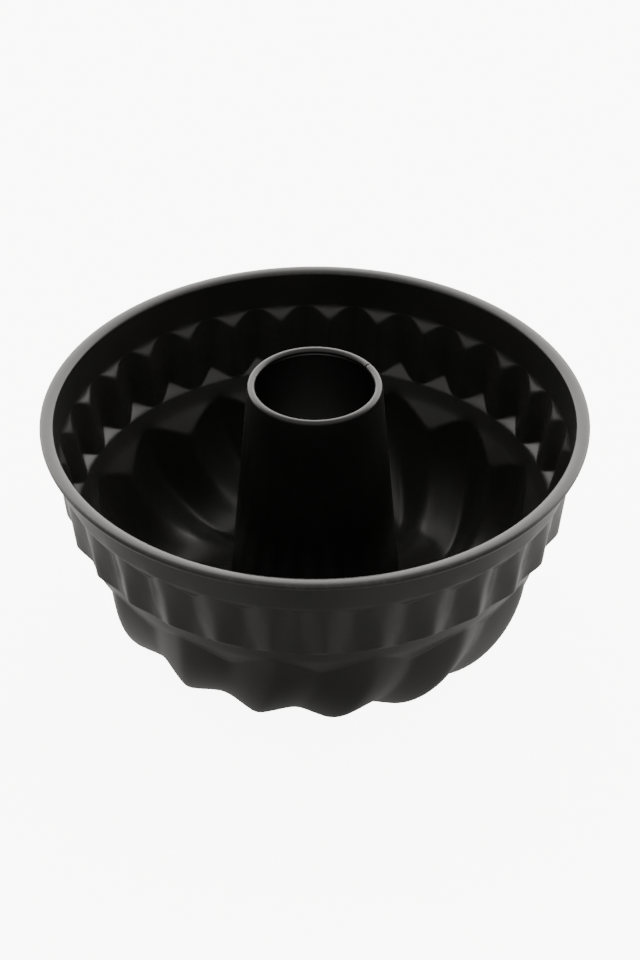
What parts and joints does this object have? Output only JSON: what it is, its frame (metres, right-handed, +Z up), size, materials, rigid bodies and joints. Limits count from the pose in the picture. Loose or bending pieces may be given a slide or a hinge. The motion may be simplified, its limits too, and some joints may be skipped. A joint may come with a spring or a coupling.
{
  "type": "bundt pan",
  "caption": "Deep fluted ring cake pan in black coated sheet steel, with a plain rolled rim, upright upper flutes, swirled lower flutes and a conical centre tube.",
  "frame": {"origin": "on the ground under the middle of the pan", "axes": "+Z up the centre tube's axis; one ridge of the lower flutes leaves the plain ring on +X"},
  "size_m": [0.22, 0.22, 0.1153],
  "materials": {
    "shell_coating": "smooth semi-gloss black non-stick coating",
    "wire_steel": "drawn steel wire",
    "tube_coating": "smooth semi-gloss black non-stick coating"
  },
  "bodies": {
    "root": {"fluted_shell": "shell_coating", "rim_wire": "wire_steel", "centre_tube": "tube_coating"}
  },
  "joints": []
}
